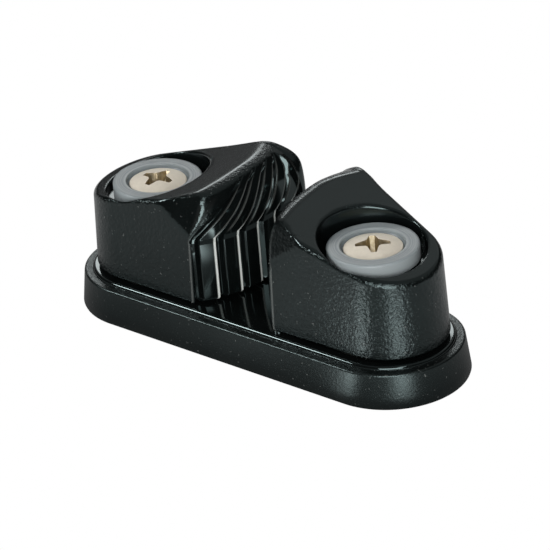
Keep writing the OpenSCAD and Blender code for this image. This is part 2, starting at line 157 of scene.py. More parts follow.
# Base: half width and end centres at the deck, lean of its side, rim, rounded edges, steps round its outline
BASE_W, BASE_RUN, SIDE_LEAN = 10.75, 20.95, 0.54
RIM_ROUND, RIM_W, TOP_ROUND = 0.35, 0.9, 0.45
BASE_FOOT = ((0.25, 0), (0.07, 0.06), (0, 0.25))
SIDE_ROWS = (0.33, 0.66)
DECK_FILLET = ((0.12, 0), (0.03, 0.02), (0, 0.06))
STRAIGHT_STEPS, ROUND_STEPS = 30, 64

# Socket with its play round the bush, deck hole, how far a cut runs past a face, and the stop pegs
SOCKET_FLOOR, SOCKET_PLAY, DECK_HOLE_R, PAST = 2.5, 0.05, 2.15, 1.0
PEG_AT_R, PEG_ANGLE, PEG_Z = 9.5, math.radians(28), 5.95
PEG_R, PEG_EDGE, PEG_ROOT = 0.9, 0.2, 0.5

# Bush: radii, chamfers, rounded edges and the upright wall of its countersink
BUSH_R, FLANGE_R, SINK_R, SCREW_HOLE_R = 4.6, 6.325, 4.4, 2.15
BUSH_CHAMFER, FLANGE_CHAMFER, FLANGE_ROUND, SINK_ROUND, SINK_WALL = 0.3, 0.15, 0.34, 0.16, 0.5

# Washer: radius, thickness, play round the bush, edges, and play of the spring's leg in its hole
WASHER_R, WASHER_T, WASHER_PLAY = 7.1, 0.4, 0.15
WASHER_EDGE, WASHER_ROUND, LEG_PLAY = 0.1, 0.18, 0.18

# Spring: wire, coil and legs
WIRE_R, COIL_R, COIL_Z, COIL_PITCH, COIL_TURNS = 0.35, 5.6, 6.7, 1.2, 2.5
LEG_ANGLE, LEG_L = math.radians(200), 1.6
COIL_STEPS, WIRE_SIDES = 121, 14

# Screw: shank, head with its rim and crown, length and chamfered tip
SCREW_R, HEAD_R, CROWN_H, SCREW_L, TIP_CHAMFER = 2.0, 4.05, 0.75, 15.75, 0.4
HEAD_RIM, HEAD_EDGE = 0.3, ((0.06, 0.34), (0, 0.24), (0, 0.06))
CROWN_START, CROWN_STEPS = 0.985, 16

# Cross recess: reach and width of its wings, narrowing of their tips, growth of its core, depth of its start
# below the crown, and its levels from above the crown down: height, share of the reach, share of the width
CROSS_R, WING_W, WING_TIP, CORE_GROWTH, CROSS_SINK = 2.45, 1.5, 0.5, 0.26, 0.15
CROSS_LEVELS = ((1.2, 1.28, 1.1), (0.0, 1.0, 1.0), (-0.6, 0.82, 0.9),
                (-1.3, 0.6, 0.8), (-2.0, 0.4, 0.7), (-2.6, 0.22, 0.5))


def mix(a, b, t):
    """The value at share t of the way from a to b."""
    return a + (b - a) * t


def ease(t):
    """A smooth step from 0 to 1, level at both ends."""
    t = np.clip(t, 0.0, 1.0)
    return t * t * (3 - 2 * t)


def polar(r, a):
    """Plan point at a radius and an angle."""
    return np.array([r * math.cos(a), r * math.sin(a)])


def heading(turn, rise):
    """Unit vector at a plan angle and a height angle."""
    return np.array([math.cos(rise) * math.cos(turn), math.cos(rise) * math.sin(turn), math.sin(rise)])


def roof(p):
    """Height of the cam's tilted top over plan points."""
    rise = p[..., 0] * math.cos(TOP_TILT_DIR) + p[..., 1] * math.sin(TOP_TILT_DIR)
    return FOOT_Z + CAM_H + math.tan(TOP_TILT) * rise


JAW_TURN = polar(JAW_R, SPIRAL)
NOSE_C = np.array([JAW_TURN[0] - NOSE_R, 0.0])
NOSE_C[1] = (END_R - NOSE_R - (NOSE_C[0] - END_C[0]) * BACK_N[0]) / BACK_N[1]
NOSE_S = NOSE_C[1] - JAW_TURN[1]


def tooth_tip(s):
    """Plan point of the tooth tips, s along the jaw: a spiral in front, straight towards the nose."""
    if s > 0:
        return JAW_TURN + np.array([0.0, s])
    r = JAW_R + s * math.sin(SPIRAL)
    return polar(r, SPIRAL + math.log(r / JAW_R) / math.tan(SPIRAL))


SPIRAL_TIPS = np.array([tooth_tip(s) for s in np.linspace(2 * FIRST_TOOTH, 0, SPIRAL_STEPS)])


def jaw_x(y):
    """Distance of the tooth tips from the pivot line at y."""
    return np.interp(y, SPIRAL_TIPS[:, 1], SPIRAL_TIPS[:, 0])


def brow_x(y):
    """Distance of the brow, where the flat top ends, from the pivot line at y."""
    d = y - BROW_Y
    return BROW_X - d * d / (2 * np.where(d < 0, BROW_FRONT_R, BROW_BACK_R))


# The brow ends where it meets the rounded edge of the back wall
CAP_REACH = END_R - DRAFT * (CAM_H + NOSE_LIFT) - EDGE_R
NOSE_Y = BROW_Y
for _ in range(BROW_ROUNDS):
    NOSE_Y = (CAP_REACH - (float(brow_x(NOSE_Y)) - END_C[0]) * BACK_N[0]) / BACK_N[1]

# Front corner of the jaw, and the front end of the brow
CORNER = tooth_tip(FIRST_TOOTH)
FRONT_Y = -END_R + DRAFT * CAM_H + EDGE_R
FRONT_END = float(brow_x(FRONT_Y))


def ridge_power(s):
    """How soon on its way up the ridge that starts at s sweeps back."""
    return SWEEP_POWER * math.exp(-SWEEP_HURRY * (s - FIRST_TOOTH))


def ridge_end(s):
    """Place along the brow to which the ridge that starts at s sweeps back."""
    return SWEEP_Y + SWEEP_RATE * (s - FIRST_TOOTH)


def fullness(y):
    """Power of the curve over which the jaw rolls into the top at y."""
    return FULL_MID + FULL_FRONT * np.minimum(y - BROW_Y, 0) ** 2


TOOTH_AT = np.linspace(0, 1, SECTION_STEPS)
TOOTH_CUT = np.interp(TOOTH_AT, SECTION_AT, SECTION_CUT)
SOFT = np.hanning(2 * EASE_STEPS + 1)
TOOTH_ROW = np.r_[TOOTH_CUT[-EASE_STEPS - 1:-1], TOOTH_CUT, TOOTH_CUT[1:EASE_STEPS + 1]]
TOOTH_CUT = np.convolve(TOOTH_ROW, SOFT / SOFT.sum(), "valid")
LAST_TOOTH = FIRST_TOOTH + math.floor((NOSE_S - FIRST_TOOTH) / TOOTH_PITCH) * TOOTH_PITCH


def groove(s):
    """Share of the groove's depth at s along the jaw; the row runs out in a shallow groove at the nose."""
    if s > LAST_TOOTH:
        run_in = ease((s - LAST_TOOTH) / LAST_IN)
        return LAST_CUT * float(run_in * (1 - ease((s - NOSE_S + LAST_OUT) / LAST_OUT)))
    return float(np.interp(((s - FIRST_TOOTH) / TOOTH_PITCH) % 1.0, TOOTH_AT, TOOTH_CUT))


def tip_share(s):
    """1 on the narrow edge of a tooth's tip, fading to 0 on its land and in the groove behind it."""
    if s < FIRST_TOOTH + TOOTH_PITCH / 2:
        return 0.0
    return float(np.interp((s - FIRST_TOOTH) % TOOTH_PITCH, TIP_AT, TIP_HIGHLIGHT))


def rear_share(s):
    """1 on the narrow edge where the groove behind a tooth's tip ends, 0 beside it."""
    return float(np.interp((s - FIRST_TOOTH) % TOOTH_PITCH / TOOTH_PITCH, REAR_AT, REAR_HIGHLIGHT))


def front_wall(z):
    """Place of the drafted front wall at a height."""
    return -END_R + DRAFT * (z - FOOT_Z)


def nose_way(q):
    """Place of the nose's own column at share q of the roll, which no ridge passes."""
    return mix(NOSE_C[1], NOSE_Y, 1 - np.cos(math.pi / 2 * q))


def swept_y(aim, s, q):
    """A column's way back, eased to stay in line in front of the nose."""
    late = np.minimum(q / CROWD_BY, 1)
    limit = nose_way(q) - CROWD_SHARE * (NOSE_S - s) * late
    width = mix(*CROWD_SOFT, late)
    gap = limit - aim
    return limit - np.maximum(gap, 0) - width * np.log1p(np.exp(-np.abs(gap) / width))


def roll(start_x, end_x, y, full, deep):
    """Points over the rolled face, from the jaw at start_x to the brow at end_x, sunk by deep."""
    k = 2 / full
    out, rising = np.cos(math.pi / 2 * ROLL), np.sin(math.pi / 2 * ROLL)
    out[-1] = 0.0
    plan = np.stack([mix(start_x, end_x, 1 - out ** k), y], 1)
    rise = roof(plan) - KNEE_Z
    across, upward = out ** (2 - k) / (start_x - end_x), rising ** (2 - k) / rise
    length = np.hypot(across, upward)
    plan = plan - plan / np.hypot(plan[:, 0], plan[:, 1])[:, None] * (deep * across / length)[:, None]
    return np.column_stack([plan, KNEE_Z + rise * rising ** k - deep * upward / length])


def stand(foot, cut, face):
    """A whole column: the upright tooth or groove below, a ledge, and the rolled face above."""
    foot = foot - foot / np.hypot(*foot) * cut * TOOTH_DEPTH
    points = [[*foot, z] for z in mix(FOOT_Z, LEDGE_Z, UPRIGHT)]
    points = np.vstack([points, mix(np.array(points[-1]), face[0], LEDGE[:, None]), face])
    points[:, 1] = np.maximum(points[:, 1], front_wall(points[:, 2]))
    return points


def jaw_rise(s, foot, end_y, cut, land=1.0):
    """Column of the jaw at s that sweeps back from its foot towards end_y on the brow."""
    inset = jaw_x(foot[1]) - foot[0]
    aim = mix(foot[1], end_y, ROLL ** ridge_power(s))
    y = swept_y(aim, s, ROLL)
    fade = 1 - ease((ROLL - FADE_AT) / FADE_RUN)
    fade *= ease((nose_way(ROLL) - aim + NOSE_FADE / 2) / NOSE_FADE)
    deep = (RIDGE_DROP * land + RIDGE_DEPTH * cut) * fade
    return stand(foot, cut, roll(jaw_x(y) - inset, brow_x(y), y, fullness(y), deep))


def plain_rise(foot, end, full):
    """Column without ridges that rolls straight from its foot to a point on the brow."""
    inward = 1 - np.r_[np.cos(math.pi / 2 * ROLL[:-1]), 0] ** (2 / full)
    return stand(foot, 0.0, roll(foot[0], end[0], mix(foot[1], end[1], inward), full, np.zeros(len(ROLL))))


def wall_rise(foot, normal):
    """Column of a plain drafted wall, rounded into the top."""
    top = foot - normal * DRAFT * (roof(foot) - EDGE_R - FOOT_Z)
    top_z = roof(top) - EDGE_R
    heights = [*mix(FOOT_Z, LEDGE_Z, UPRIGHT), top_z]
    side = [[*mix(foot, top, (z - FOOT_Z) / (top_z - FOOT_Z)), z] for z in heights]
    edge = []
    for a in np.linspace(0, math.pi / 2, EDGE_ROWS)[1:]:
        p = top - normal * EDGE_R * (1 - math.cos(a))
        edge.append([*p, roof(p) - EDGE_R * (1 - math.sin(a))])
    upper = along(np.array(side[LOW - 1:] + edge), HIGH - LOW + 1)[1:]
    return np.vstack([side[:LOW], upper])


def along(points, count):
    """The same line through points, as count points evenly spaced."""
    run = np.r_[0, np.cumsum(np.linalg.norm(np.diff(points, axis=0), axis=1))]
    at = np.linspace(0, run[-1], count)
    return np.stack([np.interp(at, run, points[:, i]) for i in range(3)], 1)


ENTRY_P = np.array([ENTRY_X, -END_R + DRAFT * CAM_H, roof(np.array([ENTRY_X, -END_R]))])
ENTRY_N = heading(ENTRY_TURN, ENTRY_RISE)
NOSE_N = heading(NOSE_TURN, NOSE_RISE)


def press(points, at, way, soft):
    """Presses points back to a plane through at that looks along way, with a soft edge."""
    d = (points - at) @ way
    far = np.where(d > soft, d, np.where(d > -soft, (d + soft) ** 2 / (4 * soft), 0))
    return points - far[:, None] * way


def trim(points, nose_top):
    """Takes the slanted entry face off the front corner and rounds the nose below its highest point."""
    points = press(points, ENTRY_P, ENTRY_N, ENTRY_SOFT)
    return press(points, nose_top - NOSE_N * NOSE_CUT, NOSE_N, NOSE_SOFT)


# An outer column of the cam: points, polish, whether it is a plain wall, and how much painted highlight its
# edge gets at a tooth's tip and behind it
Column = namedtuple("Column", "points polish plain tip rear", defaults=(0.0, False, 0.0, 0.0))


def jaw_columns():
    """Columns of the toothed jaw, from the front corner to the nose."""
    for t in np.linspace(0, 1, CORNER_COLUMNS)[:-1]:
        foot = np.array([CORNER[0] - CORNER_RUN * (1 - t) ** CORNER_POWER, mix(-END_R, CORNER[1], t ** 2)])
        points = jaw_rise(FIRST_TOOTH, foot, mix(FRONT_Y, SWEEP_Y, t), 0, t)
        yield Column(points, t, tip=CORNER_HIGHLIGHT * (CORNER_HIGHLIGHT_AT[0] < t < CORNER_HIGHLIGHT_AT[1]))
    for s in np.arange(FIRST_TOOTH, NOSE_S - JAW_END, JAW_STEP):
        points = jaw_rise(s, tooth_tip(s), ridge_end(s), groove(s))
        yield Column(points, 1.0, tip=tip_share(s), rear=rear_share(s))


def nose_columns():
    """Columns round the nose and along the back, where they turn into a plain wall."""
    back_from, back_to = NOSE_C + BACK_N * NOSE_R, END_C + BACK_N * END_R
    back_way = (back_to - back_from) / np.hypot(*(back_to - back_from))
    nose = np.array([float(brow_x(NOSE_Y)), NOSE_Y])
    for t in np.linspace(0, 1, NOSE_COLUMNS):
        foot = NOSE_C + polar(NOSE_R, mix(0, math.pi / 2 + BACK_ANGLE, t))
        points = plain_rise(foot, nose + back_way * NOSE_RUN * t, mix(*NOSE_FULL, ease(t)))
        yield Column(points, 1 - ease(t * NOSE_DULL))
    for t in np.linspace(0, 1, BACK_COLUMNS)[1:-1]:
        foot = mix(back_from, back_to, t)
        points = wall_rise(foot, BACK_N)
        reach = (points[-1][:2] - nose) @ back_way
        share = ease((reach - BACK_START) / BACK_RUN)
        if share < 1:
            end = nose + back_way * max(NOSE_RUN + BACK_CREEP * t, reach)
            points = mix(plain_rise(foot, end, NOSE_FULL[1]), points, share)
        yield Column(points, plain=share == 1)


def wall_columns():
    """Columns round the plain end and along the front, up to the corner of the jaw."""
    for a in np.linspace(math.pi / 2 + BACK_ANGLE, 1.5 * math.pi, END_COLUMNS):
        yield Column(wall_rise(END_C + polar(END_R, a), polar(1, a)), plain=True)
    for x in np.linspace(END_C[0], CORNER[0] - CORNER_RUN, FRONT_COLUMNS)[1:-1]:
        foot = np.array([x, -END_R])
        points = wall_rise(foot, np.array([0, -1.0]))
        share = ease((x - FRONT_END + FRONT_RUN) / FRONT_RUN)
        if share > 0:
            creep = FRONT_CREEP * (x - FRONT_END) / (CORNER[0] - FRONT_END)
            tip = np.array([FRONT_END - FRONT_CREEP + creep, FRONT_Y])
            points = mix(points, plain_rise(foot, tip, float(fullness(FRONT_Y))), share)
        yield Column(points, plain=share == 0)


def dish_r(z):
    """Radius of the counterbore, or of the dish above it, at a height."""
    return COUNTERBORE_R + DISH_FLARE * np.maximum(z - DISH_Z, 0)


def over_top(points, nose_top):
    """Carries a column on over the top, trims it and cuts it where the counterbore's dish begins."""
    reach = np.linspace(1, TOP_REACH, TOP_STEPS)[1:, None] * points[-1][:2]
    line = trim(np.vstack([points, np.column_stack([reach, roof(reach)])]), nose_top)
    inside = np.hypot(line[:, 0], line[:, 1]) - dish_r(line[:, 2])
    inside[:LOW] = 1.0
    i = int(np.argmax(inside < 0))
    edge = mix(line[i - 1], line[i], inside[i - 1] / (inside[i - 1] - inside[i]))
    return np.vstack([line[:i], edge])


def bore_wall(start, edge, way):
    """Inside of the cam below the dish's edge: rounded lip, dish, counterbore, bore and spring pocket."""
    dish_low = min(DISH_Z, edge[2] - DISH_WALL)
    dish = [[*(way * dish_r(z)), z] for z in np.linspace(edge[2] - DISH_LIP, dish_low, DISH_ROWS)]
    lip = [start * (1 - t) ** 2 + edge * 2 * t * (1 - t) + np.array(dish[0]) * t * t for t in LIP_TURN]
    steps = [(COUNTERBORE_R, z) for z in np.linspace(dish_low, SHOULDER_Z, SHOULDER_ROWS)[1:]]
    steps += [(BORE_R, SHOULDER_Z), (BORE_R, POCKET_Z), (POCKET_R, POCKET_Z), (POCKET_R, FOOT_Z)]
    return lip + dish + [[*(way * r), z] for r, z in steps]


def cam_ring(column, nose_top):
    """One ring of the cam's skin: round the foot, up a column, over the top and down the bore."""
    line = over_top(column.points, nose_top)
    edge = line[-1]
    way = edge[:2] / np.hypot(*edge[:2])
    # the skin turns down a little before the edge, in a rounded lip
    run = np.linalg.norm(np.diff(line, axis=0), axis=1)[::-1].cumsum()[::-1]
    line = line[:-1][run > DISH_LIP]
    if column.plain:
        upper = along(line[LOW - 1:], UPPER_ROWS + 1)[1:]
    else:
        upper = np.vstack([line[LOW:HIGH], along(line[HIGH - 1:], ROOF_ROWS + 1)[1:]])
    foot = [line[0] - np.array([*(way * inset), -rise]) for inset, rise in FOOT_EDGE]
    lower = line[:LOW].copy()
    lower[0, 2] += FOOT_ROUND
    return np.vstack([foot, lower, upper, bore_wall(line[-1], edge, way)])


def ring_finish(ring, column):
    """Polish, grain and painted highlight over one ring of the cam's skin."""
    upper = ring[LOWER_ROWS:LOWER_ROWS + UPPER_ROWS]
    proud = (upper - ENTRY_P) @ ENTRY_N
    polish = column.polish * (1 - ease((ROLLED - POLISH_END) / POLISH_FADE))
    polish = np.where(proud > -ENTRY_EDGE, np.minimum(polish, ENTRY_POLISH), polish)
    grain = ease((roof(upper) - upper[:, 2]) / GRAIN_FADE) * (1 - polish)
    grain *= 1 - ENTRY_SMOOTH * ease((proud + ENTRY_NEAR) / ENTRY_FADE)
    painted_highlight = column.tip * np.interp(ROLLED, HIGHLIGHT_UP_AT, TIP_HIGHLIGHT_UP)
    painted_highlight += column.rear * np.interp(ROLLED, HIGHLIGHT_UP_AT, REAR_HIGHLIGHT_UP)
    inside = np.zeros(len(ring) - LOWER_ROWS - UPPER_ROWS)
    parts = ((column.polish, polish), (1 - column.polish, grain), (column.tip, painted_highlight))
    return [np.r_[np.full(LOWER_ROWS, below), above, inside] for below, above in parts]


def build_cam(name, side):
    """One cam as a single closed skin. side is -1 for the left cam and 1 for its mirror image."""
    columns = [*jaw_columns(), *nose_columns(), *wall_columns()]
    points = np.vstack([column.points for column in columns])
    nose_top = points[np.argmax(points @ NOSE_N)]
    rings = np.array([cam_ring(column, nose_top) for column in columns])
    finish = np.array([ring_finish(ring, column) for ring, column in zip(rings, columns)])
    if side > 0:
        rings, finish = rings[:, ::-1] * (-1, 1, 1), finish[:, :, ::-1]
    layers = {layer: finish[:, i] for i, layer in enumerate(("polish", "grain", "painted_highlight"))}
    return skin(name, rings + (side * PIVOT_X, 0, 0), sharp_degrees=40, layers=layers)


def skin(name, rings, sharp_degrees, loop=True, tube=True, layers=None):
    """A piece whose skin runs through rings of points in millimetres.

    loop joins the last ring to the first, tube the last point of a ring to its first, and what stays open is
    capped. layers holds values for the points.
    """
    rings = np.array(rings)
    n, m = rings.shape[:2]
    faces = []
    for i in range(n if loop else n - 1):
        a, b = i * m, (i + 1) % n * m
        faces += [(a + k, b + k, b + (k + 1) % m, a + (k + 1) % m) for k in range(m if tube else m - 1)]
    if not loop:
        faces += [list(range(m)), list(range((n - 1) * m, n * m))[::-1]]
    if not tube:
        faces += [list(range(0, n * m, m))[::-1], list(range(m - 1, n * m, m))]
    mesh = bpy.data.meshes.new(name)
    mesh.from_pydata((rings.reshape(-1, 3) * MM).tolist(), [], faces)
    for layer, values in (layers or {}).items():
        data = mesh.attributes.new(layer, "FLOAT", "POINT").data
        data.foreach_set("value", np.ravel(values).astype(np.float32))
    piece = bpy.data.objects.new(name, mesh)
    bpy.context.scene.collection.objects.link(piece)
    shade(piece, sharp_degrees)
    return piece


def shade(piece, sharp_degrees):
    """Merges doubled points, turns the faces outward and keeps edges above an angle crisp."""
    work = bmesh.new()
    work.from_mesh(piece.data)
    bmesh.ops.remove_doubles(work, verts=work.verts, dist=MERGE)
    bmesh.ops.recalc_face_normals(work, faces=work.faces)
    for face in work.faces:
        face.smooth = True
    for edge in work.edges:
        edge.smooth = len(edge.link_faces) == 2 and edge.calc_face_angle(0) < math.radians(sharp_degrees)
    work.to_mesh(piece.data)
    work.free()


def turned(name, profile, at, segments=128):
    """A solid turned about an upright axis from a closed profile of (radius, height) in millimetres."""
    turns = 2 * math.pi * np.arange(segments) / segments
    rings = [[(*polar(r, a), z) for r, z in profile] for a in turns]
    piece = skin(name, rings, sharp_degrees=35)
    piece.location = (at[0] * MM, at[1] * MM, 0)
    return piece


def rounded(corner, a, b, r, steps=5):
    """Profile points that round a corner between the directions to a and b."""
    c, a, b = (np.array(p, float) for p in (corner, a, b))
    u, v = (a - c) / np.hypot(*(a - c)), (b - c) / np.hypot(*(b - c))
    return [tuple(c + u * r * (1 - t) ** 2 + v * r * t ** 2) for t in np.linspace(0, 1, steps)]


def bullnose(x, z, r, steps=7):
    """Profile points of a quarter round, from an upright wall at x to a flat top at z."""
    quarter = np.linspace(0, math.pi / 2, steps)
    return [(x - r * (1 - math.cos(a)), z - r * (1 - math.sin(a))) for a in quarter]


def build_base():
    """The base: one profile swept round the plan outline, with sockets, deck holes and stop pegs."""
    rim_x = BASE_W - SIDE_LEAN
    top_x = rim_x - RIM_ROUND - RIM_W
    side_low, side_high = BASE_FOOT[-1][1], RIM_Z - RIM_ROUND
    profile = [(BASE_W - inset, rise) for inset, rise in BASE_FOOT]
    profile += [(mix(BASE_W, rim_x, t), mix(side_low, side_high, t)) for t in SIDE_ROWS]
    profile += bullnose(rim_x, RIM_Z, RIM_ROUND)
    profile += [(top_x + out, RIM_Z + rise) for out, rise in DECK_FILLET]
    profile += bullnose(top_x, TOP_Z, TOP_ROUND)
    straight = np.linspace(-BASE_RUN, BASE_RUN, STRAIGHT_STEPS)[:-1]
    bend = np.linspace(-math.pi / 2, math.pi / 2, ROUND_STEPS)[:-1]
    spine = [(x, -math.pi / 2) for x in straight] + [(BASE_RUN, a) for a in bend]
    spine += [(-x, math.pi / 2) for x in straight] + [(-BASE_RUN, a + math.pi) for a in bend]
    rings = [[(x + r * math.cos(a), r * math.sin(a), z) for r, z in profile] for x, a in spine]
    base = skin("moulded_base", rings, sharp_degrees=40, tube=False)
    wide = BUSH_R + SOCKET_PLAY
    socket = [(0, -PAST), (DECK_HOLE_R, -PAST), (DECK_HOLE_R, SOCKET_FLOOR), (wide, SOCKET_FLOOR),
              (wide, TOP_Z + PAST), (0, TOP_Z + PAST)]
    peg = [(0, TOP_Z - PEG_ROOT), (PEG_R, TOP_Z - PEG_ROOT), (PEG_R, PEG_Z - PEG_EDGE),
           (PEG_R - PEG_EDGE, PEG_Z), (0, PEG_Z)]
    for side in (-1, 1):
        combine(base, turned("socket", socket, (side * PIVOT_X, 0)), "DIFFERENCE")
        at = (side * (PIVOT_X - PEG_AT_R * math.cos(PEG_ANGLE)), PEG_AT_R * math.sin(PEG_ANGLE))
        combine(base, turned("peg", peg, at, segments=32), "UNION")
    shade(base, sharp_degrees=40)
    return base


def build_bush(name, side):
    """Top-hat bush: flange with a rounded edge, countersink for the screw, body down into the base."""
    sink_z = BUSH_Z - SINK_WALL
    profile = [(SCREW_HOLE_R, SOCKET_FLOOR), (BUSH_R - BUSH_CHAMFER, SOCKET_FLOOR),
               (BUSH_R, SOCKET_FLOOR + BUSH_CHAMFER), (BUSH_R, FLANGE_Z),
               (FLANGE_R - FLANGE_CHAMFER, FLANGE_Z), (FLANGE_R, FLANGE_Z + FLANGE_CHAMFER)]
    profile += rounded((FLANGE_R, BUSH_Z), (FLANGE_R, FLANGE_Z), (0, BUSH_Z), FLANGE_ROUND)
    profile += rounded((SINK_R, BUSH_Z), (FLANGE_R, BUSH_Z), (SINK_R, 0), SINK_ROUND)
    profile += [(SINK_R, sink_z), (SCREW_HOLE_R, sink_z - SINK_R + SCREW_HOLE_R)]
    return turned(name, profile, (side * PIVOT_X, 0))


def build_washer(name, side):
    """Thin washer that the cam rests on, with softened edges and a hole for the spring's leg."""
    face_z = TOP_Z + WASHER_T
    profile = [(BUSH_R + WASHER_PLAY, TOP_Z), (WASHER_R - WASHER_EDGE, TOP_Z)]
    profile += rounded((WASHER_R, face_z), (WASHER_R, TOP_Z), (0, face_z), WASHER_ROUND)
    profile += [(BUSH_R + WASHER_PLAY, face_z)]
    washer = turned(name, profile, (side * PIVOT_X, 0))
    at = (side * (PIVOT_X - COIL_R * math.cos(LEG_ANGLE)), COIL_R * math.sin(LEG_ANGLE))
    hole_r = WIRE_R + LEG_PLAY
    hole = [(0, TOP_Z - PAST), (hole_r, TOP_Z - PAST), (hole_r, TOP_Z + PAST), (0, TOP_Z + PAST)]
    combine(washer, turned("leg_hole", hole, at, segments=24), "DIFFERENCE")
    shade(washer, sharp_degrees=35)
    return washer


def build_spring(name, side):
    """Return spring: one round wire, with a leg down into the base, the coil and a leg up into the cam."""
    turns = 2 * math.pi * np.linspace(0, COIL_TURNS, COIL_STEPS)
    coil = [(*polar(COIL_R, LEG_ANGLE + a), COIL_Z + COIL_PITCH * a / (2 * math.pi)) for a in turns]
    path = np.array([(*coil[0][:2], TOP_Z - LEG_L), *coil, (*coil[-1][:2], POCKET_Z + LEG_L)])
    ways = np.gradient(path, axis=0)
    ways /= np.linalg.norm(ways, axis=1)[:, None]
    wire = 2 * math.pi * np.arange(WIRE_SIDES) / WIRE_SIDES
    rings = []
    for p, way in zip(path, ways):
        out = np.array([p[0], p[1], 0]) / math.hypot(p[0], p[1])
        u = out - way * (out @ way)
        u /= np.linalg.norm(u)
        v = np.cross(way, u)
        rings.append([p + WIRE_R * (u * math.cos(a) + v * math.sin(a)) for a in wire])
    return skin(name, np.array(rings) * (-side, 1, 1) + (side * PIVOT_X, 0, 0), sharp_degrees=50, loop=False)


def cross_punch(z, turn, x):
    """Solid of the cross recess: four tapering wings round a deeper cone."""
    rings = []
    for rise, reach, width in CROSS_LEVELS:
        w, r = WING_W / 2 * width, CROSS_R * reach
        core = w + CORE_GROWTH * reach
        wing = [(r, -WING_TIP * w), (r, WING_TIP * w), (core, w), (w, core)]
        ring = []
        for a in turn + math.pi / 2 * np.arange(4):
            along_wing, across_wing = polar(1, a), polar(1, a + math.pi / 2)
            ring += [(*(along_wing * out + across_wing * over), z + rise) for out, over in wing]
        rings.append(ring)
    return skin("cross_punch", np.array(rings) + (x, 0, 0), sharp_degrees=30, loop=False)


def build_screw(name, side, turn, recess):
    """Raised countersunk screw with a cross recess, whose faces take the recess material."""
    crown_r = (HEAD_R ** 2 + CROWN_H ** 2) / (2 * CROWN_H)
    span = math.asin(HEAD_R / crown_r)
    tip_z, crown_z = HEAD_Z - SCREW_L, HEAD_Z + CROWN_H
    profile = [(0, tip_z), (SCREW_R - TIP_CHAMFER, tip_z), (SCREW_R, tip_z + TIP_CHAMFER),
               (SCREW_R, HEAD_Z - HEAD_RIM - (HEAD_R - SCREW_R))]
    profile += [(HEAD_R - inset, HEAD_Z - drop) for inset, drop in HEAD_EDGE]
    profile += [(crown_r * math.sin(a), crown_z - crown_r * (1 - math.cos(a)))
                for a in span * np.linspace(CROWN_START, 0, CROWN_STEPS)]
    screw = turned(name, profile, (side * PIVOT_X, 0))
    punch = cross_punch(crown_z - CROSS_SINK, turn, side * PIVOT_X)
    punch.data.materials.append(recess)
    screw.data.materials.append(None)
    combine(screw, punch, "DIFFERENCE")
    shade(screw, sharp_degrees=30)
    return screw


def combine(piece, other, how):
    """Joins another solid to a piece or takes it out, and removes the other solid."""
    step = piece.modifiers.new("combine", "BOOLEAN")
    step.object = other
    step.operation = how
    step.solver = "EXACT"
    step.material_mode = "TRANSFER"
    bpy.context.view_layer.update()
    graph = bpy.context.evaluated_depsgraph_get()
    mesh = bpy.data.meshes.new_from_object(piece.evaluated_get(graph))
    piece.modifiers.clear()
    piece.data = mesh
    bpy.data.objects.remove(other)


def linear(code):
    """Linear colour from an sRGB hex value."""
    parts = [int(code[i:i + 2], 16) / 255 for i in (1, 3, 5)]
    return tuple(c / 12.92 if c < 0.04045 else ((c + 0.055) / 1.055) ** 2.4 for c in parts) + (1.0,)


def per_mm(size):
    """Texture scale, in cells per metre, of a pattern whose cells are size millimetres wide."""
    return 1 / (size * MM)


def two_tone(dark, light):
    """Stops of a ramp that spread two colours over the middle of a noise pattern."""
    return (0.3, linear(dark)), (0.7, linear(light))


def add_node(tree, kind, settings=None, values=None, links=None, stops=()):
    """Adds a node with its settings, its socket values, its links and the stops of its ramp."""
    made = tree.nodes.new("ShaderNode" + kind)
    for key, value in (settings or {}).items():
        setattr(made, key, value)
    for key, value in (values or {}).items():
        made.inputs[key].default_value = value
    for key, (source, output) in (links or {}).items():
        tree.links.new(source.outputs[output], made.inputs[key])
    if stops:
        ramp = made.color_ramp.elements
        while len(ramp) < len(stops):
            ramp.new(0.5)
        for stop, (position, colour) in zip(ramp, stops):
            stop.position, stop.color = position, colour
    return made


def new_material(name):
    """An empty material, and the node tree to fill."""
    material = bpy.data.materials.new(name)
    material.use_nodes = True
    material.node_tree.nodes.clear()
    return material, material.node_tree


# Patterns in millimetres: clouds in the black, its pale specks, turning rings, and the depth of rings and of
# the steel's unevenness. Specks, rings and steel are finer in fact, and are drawn coarser so that they show
CLOUD_MM, SPECK_MM = 6.0, 0.4
RING_MM, RING_DEPTH_MM, STEEL_DEPTH_MM = 0.3, 0.05, 0.01

# Share by which the roughness of steel goes up and down
SHEEN_SPREAD = 0.25

# Heights above the rim between which the base turns from grained to polished
DECK_POLISH = (0.02, 0.12)


